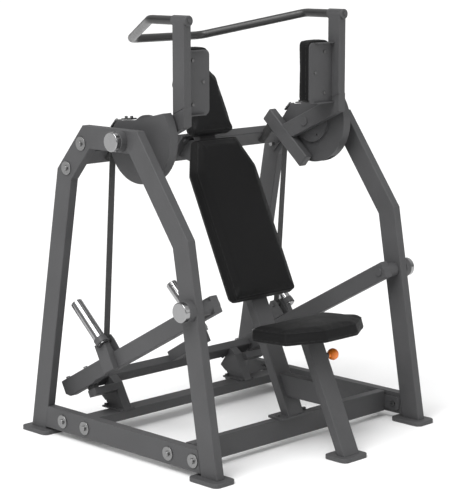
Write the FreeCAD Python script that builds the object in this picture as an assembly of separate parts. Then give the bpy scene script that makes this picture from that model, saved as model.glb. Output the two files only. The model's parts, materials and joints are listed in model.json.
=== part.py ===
import FreeCAD, Part
import math
import os

from FreeCAD import Vector

# Plate-loaded pullover machine. All sizes are in millimetres, +Z is up and -Y is the front.
# Drawing positions are (y, z) pairs in the side view, with y measured from the toe of the front
# legs and z from a line just under the floor. The saved model is moved so that its origin is the
# centre of the footprint on the floor.
FOOTPRINT_MIDDLE = 495.0
FLOOR = 8.0

# Square-cornered steel tube used for the frame
WALL = 3.0
TUBE_WIDTH = 40.0
TUBE_DEPTH = 90.0
CROSS_DEPTH = 80.0
CORNER = 4.0

# Side frames
OUTER_X = 620.0
INNER_X = OUTER_X - TUBE_WIDTH
FOOT_HEIGHT = 25.0
SIDE_OUTLINE = [(0, FOOT_HEIGHT), (155, 926), (437, 1319), (759, 1319), (919, 1134), (1118, FOOT_HEIGHT)]
RAIL_BOTTOM = 35.0
RAIL_TOP = RAIL_BOTTOM + TUBE_DEPTH
FLANGE = 8.0
BOLT_SPACING = 140.0

# Crossbeams, each given by the middle of its section
TOP_BEAM = (814, 1193)
TOP_BEAM_SLOPE = -49.0
REAR_BEAM = (843, 78)
FRONT_BEAM = (203, 80)

# Spine tube and seat post lean back together
LEAN = 25.2
SPINE_FOOT_Z = RAIL_TOP + FLANGE
SPINE_WIDTH = 90.0
SPINE_TOP = 1235.0
POST_FOOT = (-133, FOOT_HEIGHT)
POST_TOP = 462.0
LINK_BEAM_BOTTOM = 205.0

# Pads
PAD_THICKNESS = 50.0
BOARD_THICKNESS = 7.0
PAD_FACE_FOOT = (334, 617)
PAD_EDGE = 14.0
SEAT_EDGE = 7.0
SPINE_FRONT_SHIFT = (PAD_THICKNESS + BOARD_THICKNESS) / math.cos(math.radians(LEAN))
SPINE_DROP = (PAD_FACE_FOOT[1] - SPINE_FOOT_Z) * math.tan(math.radians(LEAN))
SPINE_FOOT = (PAD_FACE_FOOT[0] + SPINE_FRONT_SHIFT - SPINE_DROP, SPINE_FOOT_Z)
SEAT_TILT = 4.5
SEAT_THICKNESS = 58.0

# Pivots of the swing arms and of the weight levers
ARM_PIVOT = (532, 1275)
LEVER_PIVOT = (150, 661)
SHAFT_R = 20.0
RUNNING_CLEARANCE = 0.05
HUB_R = 32.0
ARM_HUB_R = 30.0
CAP_R = 39.0
COLLAR_R = 42.0
COLLAR_END = 650.0
CAP_END = 672.0

# Swing arms
ARM_X = (426.0, 466.0)
ARM_FRONT = 335.0
ARM_REAR = 400.0
ARM_TOP = 1752.0
LINK_SLOPE = -25.2
LINK_DEPTH = 70.0
BALLAST_MIDDLE = (648, 1196)
BALLAST_SLOPE = 41.0
BALLAST_LENGTH = 293.0
BALLAST_DEPTH = 63.0
HANDLE_R = 17.5
HANDLE_Z = 1736.0
BEND_R = 60.0

# Belt drive
DRIVE_X = 502.0
CAM_WIDTH = 42.0
CAM_R = 178.0
DRUM_R = 170.0
GROOVE_WIDTH = 34.0
BELT_WIDTH = 30.0
BELT_THICKNESS = 3.0
WRAP_START = -125.0
WRAP_END = 7.0
CLEVIS_PIN = (765, 428)

# Weight levers
LEVER_SLOPE = -29.0
LEVER_DEPTH = 70.0
LEVER_FRONT = -28.0
LEVER_REAR = 995.0
STRIKE_PLATE = 5.0
BUMPER = 14.0
STOP_ARM_DEPTH = 30.0
STOP_ARM_ALONG = 846.0
STOP_ARM_LENGTH = 50.0
STOP_ARM_END = 506.0
HORN_X = 552.0
HORN_R = 25.0
SPIGOT_R = 22.0
COLLAR_LENGTH = 30.0
HORN_SLOPE = 41.5
HORN_BASE = (728, 426)
HORN_LENGTH = 222.0


# ---------- small geometry helpers ----------

def direction(angle):
    """Unit (y, z) direction at an angle above the +Y axis."""
    return (math.cos(math.radians(angle)), math.sin(math.radians(angle)))


def moved(point, angle, distance):
    """A (y, z) point moved by a distance at an angle above +Y."""
    d = direction(angle)
    return (point[0] + d[0] * distance, point[1] + d[1] * distance)


def plate(points, x0, x1):
    """A flat piece with a (y, z) outline that fills the span x0 to x1."""
    corners = [Vector(x0, y, z) for y, z in points]
    face = Part.Face(Part.makePolygon(corners + corners[:1]))
    return face.extrude(Vector(x1 - x0, 0, 0))


def block(x0, x1, y0, y1, z0, z1):
    return Part.makeBox(x1 - x0, y1 - y0, z1 - z0, Vector(x0, y0, z0))


def rod(start, end, radius):
    """A round bar between two (x, y, z) points."""
    a = Vector(*start)
    run = Vector(*end) - a
    return Part.makeCylinder(radius, run.Length, a, run)


def rod_x(centre, x0, x1, radius):
    """A round bar along X about a (y, z) centre."""
    return rod((x0, centre[0], centre[1]), (x1, centre[0], centre[1]), radius)


def rectangle(centre, angle, length, depth):
    """Corners of a (y, z) rectangle whose length runs at an angle above +Y."""
    ends = [moved(centre, angle, -length / 2), moved(centre, angle, length / 2)]
    lower = [moved(p, angle - 90, depth / 2) for p in ends]
    upper = [moved(p, angle + 90, depth / 2) for p in reversed(ends)]
    return lower + upper


def softened(shape, radius, keep):
    """Round the edges that a test picks out."""
    return shape.makeFillet(radius, [e for e in shape.Edges if keep(e)])


def along_x(edge):
    ends = [v.Point for v in edge.Vertexes]
    return len(ends) == 2 and abs((ends[1] - ends[0]).normalize().x) > 0.999


def both_sides(shape):
    """A piece and its mirror image, as separate solids."""
    return Part.makeCompound([shape, shape.mirror(Vector(0, 0, 0), Vector(1, 0, 0))])


def save(name, shape):
    placed = shape.copy()
    placed.translate(Vector(0, -FOOTPRINT_MIDDLE, -FLOOR))
    placed.exportStep("parts/%s.step" % name)


def save_pair(name, shape):
    """Save a right-hand piece and its left-hand mirror image as two sub-parts."""
    save(name + "_right", shape)
    save(name + "_left", shape.mirror(Vector(0, 0, 0), Vector(1, 0, 0)))


# ---------- side frames ----------

def inset(points, depth):
    """The side outline moved inwards, with both legs still cut off level with their feet."""
    lines = []
    for (y0, z0), (y1, z1) in zip(points, points[1:]):
        length = math.hypot(y1 - y0, z1 - z0)
        shift = ((z1 - z0) / length * depth, -(y1 - y0) / length * depth)
        lines.append(((y0 + shift[0], z0 + shift[1]), (y1 - y0, z1 - z0)))
    level = ((0, points[0][1]), (1, 0))
    lines = [level] + lines + [level]
    return [crossing(a, b) for a, b in zip(lines, lines[1:])]


def crossing(a, b):
    """Where two (point, direction) lines meet."""
    (py, pz), (dy, dz) = a
    (qy, qz), (ey, ez) = b
    t = ((qy - py) * ez - (qz - pz) * ey) / (dy * ez - dz * ey)
    return (py + dy * t, pz + dz * t)


def edge_at(line_start, line_end, z):
    """The y of a straight (y, z) edge at a height."""
    (y0, z0), (y1, z1) = line_start, line_end
    return y0 + (y1 - y0) * (z - z0) / (z1 - z0)


def upright(first, last):
    """Hollow tube that follows the side outline from one corner to another."""
    outer, outer_skin = inset(SIDE_OUTLINE, 0), inset(SIDE_OUTLINE, WALL)
    inner, inner_skin = inset(SIDE_OUTLINE, TUBE_DEPTH), inset(SIDE_OUTLINE, TUBE_DEPTH - WALL)
    span = slice(first, last + 1)
    body = plate(outer[span] + inner[span][::-1], INNER_X, OUTER_X)
    long_edges = []
    for points in (outer[span], inner[span]):
        long_edges += [tuple((p[i] + q[i]) / 2 for i in (0, 1)) for p, q in zip(points, points[1:])]
    body = softened(body, CORNER, lambda e: middle_is_one_of(e, long_edges))
    hollow = plate(outer_skin[span] + inner_skin[span][::-1], INNER_X + WALL, OUTER_X - WALL)
    return body.cut(hollow)


def middle_is_one_of(edge, middles):
    centre = edge.BoundBox.Center
    return any(math.hypot(centre.y - y, centre.z - z) < 1 for y, z in middles)


def stop_arm_centre():
    """Middle of the stop arm's section: below the resting lever, its strike plate and the bumper."""
    below = LEVER_DEPTH / 2 + STRIKE_PLATE + BUMPER + STOP_ARM_DEPTH / 2
    return moved(moved(LEVER_PIVOT, LEVER_SLOPE, STOP_ARM_ALONG), LEVER_SLOPE - 90, below)


STOP_ARM = stop_arm_centre()


def bolt_places():
    """The (y, z) middles of the frame bolts that hold the crossbeams to one side."""
    level = [(y + s * BOLT_SPACING / 2, 78) for y, _ in (FRONT_BEAM, REAR_BEAM) for s in (-1, 1)]
    sloped = [moved(TOP_BEAM, TOP_BEAM_SLOPE, s * BOLT_SPACING / 2) for s in (-1, 1)]
    return level + sloped


def drilled(shape):
    """Bolt holes through the side frame."""
    for place in bolt_places():
        shape = shape.cut(rod_x(place, INNER_X - 1, OUTER_X + 1, 6.2))
    return shape


def side_frames():
    front = upright(0, 2).cut(rod_x(LEVER_PIVOT, INNER_X - 1, OUTER_X + 1, HUB_R))
    save_pair("front_upright", front)
    rear = upright(2, 5).cut(rod_x(ARM_PIVOT, INNER_X - 1, OUTER_X + 1, HUB_R))
    save_pair("rear_upright", drilled(rear))

    inner = inset(SIDE_OUTLINE, TUBE_DEPTH)
    shell = []
    for gap in (0, WALL):
        low, high = RAIL_BOTTOM + gap, RAIL_TOP - gap
        front_ends = [edge_at(inner[0], inner[1], z) for z in (low, high)]
        rear_ends = [edge_at(inner[5], inner[4], z) for z in (low, high)]
        points = [(front_ends[0], low), (rear_ends[0], low), (rear_ends[1], high), (front_ends[1], high)]
        shell.append(plate(points, INNER_X + gap, OUTER_X - gap))
    save_pair("lower_rail", drilled(shell[0].cut(shell[1])))


def feet():
    foot = rounded_slab(545.0, 655.0, -30.0, 130.0)
    rear = rounded_slab(545.0, 655.0, 988.0, 1150.0)
    save("leg_feet", Part.makeCompound([both_sides(foot), both_sides(rear)]))
    save("seat_post_foot", rounded_slab(-72.0, 72.0, -160.0, -42.0))


def rounded_slab(x0, x1, y0, y1):
    """A foot with round corners that stands on the floor."""
    slab = block(x0, x1, y0, y1, FLOOR, FOOT_HEIGHT)
    upright_edges = lambda e: e.BoundBox.ZLength > FOOT_HEIGHT - FLOOR - 0.1
    slab = softened(slab, 24.0, upright_edges)
    return softened(slab, 3.0, lambda e: e.BoundBox.ZMin > FOOT_HEIGHT - 0.1)


# ---------- crossbeams ----------

def beam(centre, angle, half_length, depth):
    """Hollow tube across the machine, its section turned by an angle."""
    outer = plate(rectangle(centre, angle, depth, TUBE_WIDTH), -half_length, half_length)
    outer = softened(outer, CORNER, along_x)
    skin = rectangle(centre, angle, depth - 2 * WALL, TUBE_WIDTH - 2 * WALL)
    return outer.cut(plate(skin, -half_length, half_length))


def bolted_beam(centre, angle, depth, flange_angle, flange_centre):
    """Crossbeam between the side frames, with a bolted flange at each end."""
    half = INNER_X - FLANGE
    outline = rectangle(flange_centre, flange_angle, BOLT_SPACING + 56, 56)
    flange = softened(plate(outline, half, INNER_X), 12.0, along_x)
    for side in (-1, 1):
        place = moved(flange_centre, flange_angle, side * BOLT_SPACING / 2)
        flange = flange.cut(rod_x(place, half - 1, INNER_X + 1, 6.2))
    return beam(centre, angle, half, depth).fuse(both_sides(flange).Solids)


def crossbeams():
    save("top_crossbeam", bolted_beam(TOP_BEAM, TOP_BEAM_SLOPE, CROSS_DEPTH, TOP_BEAM_SLOPE, TOP_BEAM))
    save("rear_crossbeam", bolted_beam(REAR_BEAM, 0, CROSS_DEPTH, 0, REAR_BEAM))
    save("front_crossbeam", bolted_beam(FRONT_BEAM, 90, TUBE_DEPTH, 0, (FRONT_BEAM[0], 78)))


STOP_POST_X = (337.0, 380.0)
STOP_POST_LEAN = 29.5
STOP_POST_TOP = (860, 208)
STOP_SLOPE = -54.5
STOP_CUT = 98.0
STOP_BLOCK = 42.0
MID_BEAM_LENGTH = 936.0
MID_BEAM_DEPTH = 56.0
STORAGE_BASE = (706, 387)
STORAGE_ARM = ((705, 372), (908, 252))


def mid_crossbeam():
    """Beam behind the stop posts. A sloping arm on it carries the storage horn."""
    half = MID_BEAM_LENGTH / 2
    corner = moved(STOP_POST_TOP, STOP_SLOPE + 90, STOP_BLOCK)
    centre = moved(moved(corner, STOP_SLOPE, MID_BEAM_DEPTH / 2), STOP_SLOPE + 90, TUBE_WIDTH / 2)
    tube = beam(centre, STOP_SLOPE, half, MID_BEAM_DEPTH)
    (y0, z0), (y1, z1) = STORAGE_ARM
    angle = math.degrees(math.atan2(z1 - z0, y1 - y0))
    middle = ((y0 + y1) / 2, (z0 + z1) / 2)
    arm = plate(rectangle(middle, angle, math.hypot(y1 - y0, z1 - z0), 48.0), -25.0, 25.0)
    arm = softened(arm, CORNER, lambda e: True)
    arm = arm.cut(plate(rectangle(centre, STOP_SLOPE, MID_BEAM_DEPTH, TUBE_WIDTH), -60, 60))
    bolts = []
    for x in (-312.0, 312.0):
        seat = moved(moved(corner, STOP_SLOPE, MID_BEAM_DEPTH - 14), STOP_SLOPE + 90, 1)
        tip = moved(seat, STOP_SLOPE - 90, 10.0)
        bolts.append(rod((x, *seat), (x, *tip), 8.0))
    caps = plate(rectangle(centre, STOP_SLOPE, MID_BEAM_DEPTH, TUBE_WIDTH), half, half + 3)
    solids = [s for s in arm.Solids if s.Volume > 50000]
    save("mid_crossbeam", tube.fuse(solids + bolts + both_sides(caps).Solids))


def storage_horn():
    """Fixed horn on the centre line that stores a spare weight plate."""
    (y0, z0), (y1, z1) = STORAGE_ARM
    angle = math.degrees(math.atan2(z1 - z0, y1 - y0))
    arm = plate(rectangle(((y0 + y1) / 2, (z0 + z1) / 2), angle, 400.0, 48.0), -60.0, 60.0)
    save("storage_horn", horn(0.0, moved(STORAGE_BASE, HORN_SLOPE, -20), 300.0, 40.0).cut(arm))


def stop_posts():
    """Leaning posts on the rear beam, each with a block on its slanting top and an arm under its lever."""
    rear_top = moved(STOP_POST_TOP, STOP_SLOPE, STOP_CUT)
    lean = math.tan(math.radians(STOP_POST_LEAN))
    base = REAR_BEAM[1] + TUBE_WIDTH / 2
    outline = [(STOP_POST_TOP[0] - (STOP_POST_TOP[1] - base) * lean, base), (REAR_BEAM[0] + 60, base)]
    outline += [rear_top, STOP_POST_TOP]
    post = plate(outline, *STOP_POST_X)
    foot = block(STOP_POST_X[0] - 18, STOP_POST_X[1] + 18, REAR_BEAM[0] - 38, REAR_BEAM[0] + 78,
                 base, base + 7)
    block_middle = moved(STOP_POST_TOP, STOP_SLOPE, STOP_CUT / 2 + 3)
    block_middle = moved(block_middle, STOP_SLOPE + 90, STOP_BLOCK / 2)
    head = plate(rectangle(block_middle, STOP_SLOPE, STOP_CUT + 6, STOP_BLOCK), *STOP_POST_X)
    arm = rectangle(STOP_ARM, LEVER_SLOPE, STOP_ARM_LENGTH, STOP_ARM_DEPTH)
    arm = plate(arm, STOP_POST_X[1], STOP_ARM_END)
    arm = softened(arm, CORNER, along_x)
    bolts = [rod((x, REAR_BEAM[0] + 66, base + 7), (x, REAR_BEAM[0] + 66, base + 15), 8.0)
             for x in (STOP_POST_X[0] - 6, STOP_POST_X[1] + 6)]
    save_pair("stop_post", post.fuse([foot, head, arm] + bolts))


def lever_bumpers():
    """Rubber pads on the stop arms that the weight levers rest on."""
    seat = moved(STOP_ARM, LEVER_SLOPE + 90, (STOP_ARM_DEPTH + BUMPER) / 2 - 0.2)
    pad = rectangle(seat, LEVER_SLOPE, STOP_ARM_LENGTH - 6, BUMPER - 0.4)
    pad = plate(pad, DRIVE_X - 24, STOP_ARM_END - 2)
    save("lever_bumpers", both_sides(softened(pad, 2.0, lambda e: True)))


# ---------- spine, seat post and pads ----------

def leaning_tube(foot, top, width, depth):
    """Hollow tube that leans back from a (y, z) front foot corner, cut off level at both ends."""
    lean = math.tan(math.radians(LEAN))
    level_depth = depth / math.cos(math.radians(LEAN))
    shells = []
    for gap in (0, WALL):
        step = gap / math.cos(math.radians(LEAN))
        front = (foot[0] + step, foot[1])
        run = (top - foot[1]) * lean
        outline = [front, (front[0] + level_depth - 2 * step, front[1])]
        outline += [(outline[1][0] + run, top), (front[0] + run, top)]
        shells.append(plate(outline, -width / 2 + gap, width / 2 - gap))
    length = (top - foot[1]) / math.cos(math.radians(LEAN))
    outer = softened(shells[0], CORNER, lambda e: abs(e.Length - length) < 1)
    return outer.cut(shells[1])


def spine_at(z):
    """The y of the spine's front face at a height."""
    return SPINE_FOOT[0] + (z - SPINE_FOOT[1]) * math.tan(math.radians(LEAN))


def spine():
    tube = leaning_tube(SPINE_FOOT, SPINE_TOP, SPINE_WIDTH, TUBE_WIDTH)
    base = block(-95.0, 95.0, 160.0, 246.0, RAIL_TOP, RAIL_TOP + FLANGE)
    base = softened(base, 12.0, lambda e: abs(e.BoundBox.ZLength - FLANGE) < 0.1)
    bolts = [rod((x, y, RAIL_TOP + FLANGE), (x, y, RAIL_TOP + FLANGE + 9), 9)
             for x in (-78.0, 78.0) for y in (203.0,)]
    save("spine_tube", tube.fuse([base] + bolts))


def spine_bracket():
    """Box that joins the spine to the top crossbeam, with four bolts through its wide plate."""
    face = moved(TOP_BEAM, TOP_BEAM_SLOPE - 90, TUBE_WIDTH / 2)
    seat = moved(face, TOP_BEAM_SLOPE - 90, FLANGE / 2)
    wide = softened(plate(rectangle(seat, TOP_BEAM_SLOPE, 156, FLANGE), -88.0, 88.0), 2.0, along_x)
    back = [(spine_at(z) + TUBE_WIDTH / math.cos(math.radians(LEAN)), z) for z in (1100.0, 1215.0)]
    front_ends = [moved(seat, TOP_BEAM_SLOPE, s * 45) for s in (1, -1)]
    web = plate([back[0], front_ends[0], front_ends[1], back[1]], -38.0, 38.0)
    bolts = []
    for x in (-65.0, 65.0):
        for s in (-56.0, 56.0):
            y, z = moved(seat, TOP_BEAM_SLOPE, s)
            tip = moved((y, z), TOP_BEAM_SLOPE - 90, 14.0)
            bolts.append(rod((x, y, z), (x, tip[0], tip[1]), 10.0))
    save("spine_bracket", wide.fuse([web] + bolts))


def link_beam():
    """Short level tube between the seat post and the spine."""
    top = LINK_BEAM_BOTTOM + TUBE_DEPTH
    lean = math.tan(math.radians(LEAN))
    depth = TUBE_WIDTH / math.cos(math.radians(LEAN))
    post_rear = [POST_FOOT[0] + (z - POST_FOOT[1]) * lean + depth for z in (LINK_BEAM_BOTTOM, top)]
    spine_front = [spine_at(z) for z in (LINK_BEAM_BOTTOM, top)]
    outline = [(post_rear[0], LINK_BEAM_BOTTOM), (spine_front[0], LINK_BEAM_BOTTOM)]
    outline += [(spine_front[1], top), (post_rear[1], top)]
    body = plate(outline, -TUBE_WIDTH / 2, TUBE_WIDTH / 2)
    body = softened(body, CORNER, lambda e: abs(e.BoundBox.YLength - e.Length) < 0.1)
    hollow = block(-TUBE_WIDTH / 2 + WALL, TUBE_WIDTH / 2 - WALL, -50, 300,
                   LINK_BEAM_BOTTOM + WALL, top - WALL)
    save("link_beam", body.cut(hollow))


PIN_Z = 388.0


def pin_centre():
    """Middle of the seat post's depth at the height of the locking pin."""
    lean = math.tan(math.radians(LEAN))
    half_depth = TUBE_WIDTH / 2 / math.cos(math.radians(LEAN))
    return (POST_FOOT[0] + (PIN_Z - POST_FOOT[1]) * lean + half_depth, PIN_Z)


def seat_post():
    """Hollow post with a welded nut for the locking pin."""
    tube = leaning_tube(POST_FOOT, POST_TOP, SPINE_WIDTH, TUBE_WIDTH)
    side = SPINE_WIDTH / 2
    nut = rod_x(pin_centre(), side, side + 16, 12)
    tube = tube.fuse(nut)
    save("seat_post", tube.cut(rod_x(pin_centre(), side - WALL - 1, side + 17, 6.5)))


def pull_knob():
    """Orange knob on the locking pin. Its tip stands just clear of the seat slider."""
    side = SPINE_WIDTH / 2
    y, z = pin_centre()
    pin = rod_x((y, z), side - WALL + 0.4, side + 30, 6.2)
    neck = rod_x((y, z), side + 16.3, side + 34, 10)
    ball = Part.makeSphere(24.0, Vector(side + 50, y, z))
    save("pull_knob", pin.fuse([neck, ball]))


def seat_slider():
    """Tube that slides in the seat post, with a plate on top and a row of locking holes."""
    lean = math.tan(math.radians(LEAN))
    gap = WALL + 0.6
    depth = TUBE_WIDTH - 2 * gap
    bottom = 190.0
    front = POST_FOOT[0] + (bottom - POST_FOOT[1]) * lean + gap / math.cos(math.radians(LEAN))
    top = 470.0
    tube = leaning_tube((front, bottom), top, SPINE_WIDTH - 2 * gap, depth)
    y, z = pin_centre()
    for step in range(4):
        drop = -28.0 * step
        hole = (y + drop * math.sin(math.radians(LEAN)), z + drop * math.cos(math.radians(LEAN)))
        tube = tube.cut(rod_x(hole, 30.0, 60.0, 6.4))
    underside = seat_line(SEAT_THICKNESS)
    plate_outline = [(-10.0, underside(-10.0) - 8), (170.0, underside(170.0) - 8),
                     (170.0, underside(170.0)), (-10.0, underside(-10.0))]
    cover = plate(plate_outline, -90.0, 90.0)
    above = plate([(-200, underside(-200) - 1), (300, underside(300) - 1), (300, 700), (-200, 700)], -99, 99)
    save("seat_slider", tube.cut(above).fuse(cover))


def seat_line(below_top):
    """Height of a plane parallel to the seat's top, as a function of y."""
    rear_y, rear_z = 226.0, 521.0
    return lambda y: rear_z - below_top + (rear_y - y) * math.tan(math.radians(SEAT_TILT))


def mirrored(right_side):
    """A closed outline from the corners of its right half, listed from bottom to top."""
    return right_side + [(-x, height) for x, height in reversed(right_side)]


def seat_pad():
    outline = mirrored([(94.0, -76.0), (238.0, 18.0), (222.0, 228.0)])
    low, high = seat_line(SEAT_THICKNESS), seat_line(0)
    corners = [Vector(x, y, 400.0) for x, y in outline]
    column = Part.Face(Part.makePolygon(corners + corners[:1])).extrude(Vector(0, 0, 200))
    column = softened(column, 16.0, lambda e: abs(e.BoundBox.ZLength - 200) < 0.1)
    layer = plate([(-100, low(-100)), (260, low(260)), (260, high(260)), (-100, high(-100))], -260, 260)
    pad = column.common(layer)
    top_edges = lambda e: e.BoundBox.ZMax > high(226.0) - 0.5 and abs(e.BoundBox.ZLength) < 25
    save("seat_pad", softened(pad, SEAT_EDGE, top_edges))


def on_back(height, depth):
    """A (y, z) point given by height up the pad face and depth behind it."""
    slope = 90.0 - LEAN
    return moved(moved(PAD_FACE_FOOT, slope, height), slope - 90, depth)


def back_slab(outline, front_depth, rear_depth, corner):
    """A slab that leans like the back pad, with an (x, height) outline and round corners."""
    start = on_back(0, front_depth)
    points = []
    for x, height in outline:
        y, z = moved(start, 90.0 - LEAN, height)
        points.append(Vector(x, y, z))
    face = Part.Face(Part.makePolygon(points + points[:1]))
    d = direction(-LEAN)
    thickness = rear_depth - front_depth
    slab = face.extrude(Vector(0, d[0] * thickness, d[1] * thickness))
    return softened(slab, corner, lambda e: abs(e.Length - thickness) < 0.1 and is_through(e, d))


def is_through(edge, d):
    ends = [v.Point for v in edge.Vertexes]
    run = (ends[1] - ends[0]).normalize()
    return abs(abs(run.y * d[0] + run.z * d[1]) - 1) < 0.001


BACK_OUTLINE = mirrored([(186.0, -14.0), (186.0, 548.0), (121.0, 690.0)])
HEAD_OUTLINE = mirrored([(120.0, 701.0), (120.0, 950.0), (76.0, 1012.0)])


def shrunk(outline, margin):
    """An outline drawn in by a margin on every side."""
    low = min(h for _, h in outline)
    high = max(h for _, h in outline)
    wide = max(x for x, _ in outline)
    scale_x = (wide - margin) / wide
    middle = (low + high) / 2
    scale_h = (high - low - 2 * margin) / (high - low)
    return [(x * scale_x, middle + (h - middle) * scale_h) for x, h in outline]


def pads():
    for name, outline in (("back", BACK_OUTLINE), ("head", HEAD_OUTLINE)):
        cushion = back_slab(outline, 0, PAD_THICKNESS, 26.0)
        front = lambda e: on_front_face(e)
        save(name + "_pad", softened(cushion, PAD_EDGE, front))
        board = back_slab(shrunk(outline, 12.0), PAD_THICKNESS, PAD_THICKNESS + BOARD_THICKNESS, 20.0)
        if name == "head":
            board = board.fuse(head_bracket())
        save(name + "_board", board)


def on_front_face(edge):
    """True for an edge that lies in the plane of the pad's front face."""
    d = direction(-LEAN)
    for vertex in edge.Vertexes:
        p = vertex.Point
        if abs((p.y - PAD_FACE_FOOT[0]) * d[0] + (p.z - PAD_FACE_FOOT[1]) * d[1]) > 0.1:
            return False
    return True


def head_bracket():
    """Strap on the back of the head board that runs down to the spine."""
    start = on_back(640.0, PAD_THICKNESS + BOARD_THICKNESS)
    end = on_back(940.0, PAD_THICKNESS + BOARD_THICKNESS)
    thick = direction(-LEAN)
    outline = [start, end]
    outline += [(p[0] + thick[0] * 22, p[1] + thick[1] * 22) for p in (end, start)]
    strap = plate(outline, -30.0, 30.0)
    spine_outline = [(spine_at(z), z) for z in (900.0, SPINE_TOP)]
    spine_outline += [(y + 200, z) for y, z in reversed(spine_outline)]
    return strap.cut(plate(spine_outline, -60, 60))


# ---------- pivots and frame fasteners ----------

def pivots():
    housings = []
    caps = []
    for centre in (ARM_PIVOT, LEVER_PIVOT):
        collar = softened(rod_x(centre, OUTER_X, COLLAR_END, COLLAR_R), 3.0, lambda e: e.BoundBox.XMin > 640)
        sleeve = rod_x(centre, INNER_X, OUTER_X, HUB_R)
        housings.append(collar.fuse(sleeve).cut(rod_x(centre, INNER_X - 1, COLLAR_END + 1, SHAFT_R)))
        caps.append(softened(rod_x(centre, COLLAR_END, CAP_END, CAP_R), 4.0, lambda e: e.BoundBox.XMin > 660))
    save("bearing_housings", Part.makeCompound([both_sides(h) for h in housings]))
    save("pivot_caps", Part.makeCompound([both_sides(c) for c in caps]))
    save_pair("arm_shaft", rod_x(ARM_PIVOT, ARM_X[0] + 5.5, COLLAR_END, SHAFT_R))
    save_pair("lever_shaft", rod_x(LEVER_PIVOT, lever_x()[0] + 5.5, COLLAR_END, SHAFT_R))


def frame_fasteners():
    washers = []
    bolts = []
    for place in bolt_places():
        ring = rod_x(place, OUTER_X, OUTER_X + 5, 28).cut(rod_x(place, OUTER_X - 1, OUTER_X + 6, 6.2))
        rim = lambda e: e.BoundBox.XMin > OUTER_X + 4 and e.BoundBox.YLength > 40
        washers.append(softened(ring, 1.5, rim))
        head = rod_x(place, OUTER_X + 5, OUTER_X + 13, 11)
        head = softened(head, 2.0, lambda e: e.BoundBox.XMin > OUTER_X + 12)
        shank = rod_x(place, INNER_X - FLANGE - 10, OUTER_X + 5, 6.0)
        nut = rod_x(place, INNER_X - FLANGE - 11, INNER_X - FLANGE, 10)
        bolts.append(head.fuse([shank, nut]))
    save("frame_washers", Part.makeCompound([both_sides(w) for w in washers]))
    save("frame_bolts", Part.makeCompound([both_sides(b) for b in bolts]))


# ---------- swing arms ----------

def arm_tube():
    """Upright tube with a short sleeve across its top that holds the handle bar."""
    lower = [(y, link_edge(y, 1)) for y in (ARM_FRONT, ARM_REAR)]
    outline = lower + [(ARM_REAR, ARM_TOP), (ARM_FRONT, ARM_TOP)]
    body = plate(outline, *ARM_X)
    body = softened(body, CORNER, lambda e: abs(e.BoundBox.ZLength - e.Length) < 0.1)
    middle = sum(ARM_X) / 2
    sleeve = rod((middle, 325, HANDLE_Z), (middle, 408, HANDLE_Z), HANDLE_R + 3.5)
    sleeve = softened(sleeve, 2.5, lambda e: e.BoundBox.YMax < 330)
    inside = plate([(y + dy, z) for (y, z), dy in zip(outline, (WALL, -WALL, -WALL, WALL))],
                   ARM_X[0] + WALL, ARM_X[1] - WALL)
    inside = inside.cut(block(400, 500, 300, 450, HANDLE_Z - HANDLE_R - 9, ARM_TOP + 50))
    bore = rod((middle, 332, HANDLE_Z), (middle, 430, HANDLE_Z), HANDLE_R)
    bolt = rod((middle, 319, HANDLE_Z), (middle, 326, HANDLE_Z), 8.0)
    plug = rod((middle, ARM_REAR, 1497), (middle, ARM_REAR + 6, 1497), 14.0)
    return body.cut(inside).fuse([sleeve, plug]).cut(bore).fuse(bolt)


def link_edge(y, side):
    """Height of the sloping link's upper (1) or lower (-1) edge at a distance y."""
    slope = math.radians(LINK_SLOPE)
    return ARM_PIVOT[1] + (y - ARM_PIVOT[0]) * math.tan(slope) + side * LINK_DEPTH / 2 / math.cos(slope)


def arm_link():
    """Sloping link from the arm to the pivot hub, with the ballast tube welded across its rear end."""
    rear = ARM_PIVOT[0] + 190
    outline = [(ARM_FRONT, link_edge(ARM_FRONT, -1)), (rear, link_edge(rear, -1))]
    outline += [(rear, link_edge(rear, 1)), (ARM_FRONT, link_edge(ARM_FRONT, 1))]
    body = softened(plate(outline, *ARM_X), CORNER, lambda e: e.Length > 200)
    skin = [(ARM_FRONT + WALL, link_edge(ARM_FRONT + WALL, -1) + WALL), (rear, link_edge(rear, -1) + WALL)]
    skin += [(rear, link_edge(rear, 1) - WALL), (ARM_FRONT + WALL, link_edge(ARM_FRONT + WALL, 1) - WALL)]
    body = body.cut(plate(skin, ARM_X[0] + WALL, ARM_X[1] - WALL))

    ballast = rectangle(BALLAST_MIDDLE, BALLAST_SLOPE, BALLAST_LENGTH, BALLAST_DEPTH)
    behind_middle = moved(BALLAST_MIDDLE, BALLAST_SLOPE - 90, 200)
    behind = rectangle(behind_middle, BALLAST_SLOPE, 900, 400 + BALLAST_DEPTH)
    body = body.cut(plate(behind, ARM_X[0] - 1, ARM_X[1] + 1))
    weight = softened(plate(ballast, *ARM_X), 6.0, lambda e: True)
    hub = rod_x(ARM_PIVOT, ARM_X[0], INNER_X - 3, ARM_HUB_R)
    boss = rod_x(ARM_PIVOT, ARM_X[0] - 5, ARM_X[0], 19.0)
    boss = softened(boss, 2.0, lambda e: e.BoundBox.XMax < ARM_X[0] - 1)
    bore = rod_x(ARM_PIVOT, ARM_X[0] + 5, INNER_X, SHAFT_R + RUNNING_CLEARANCE)
    return body.fuse([weight, hub, boss]).cut(bore)


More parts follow.
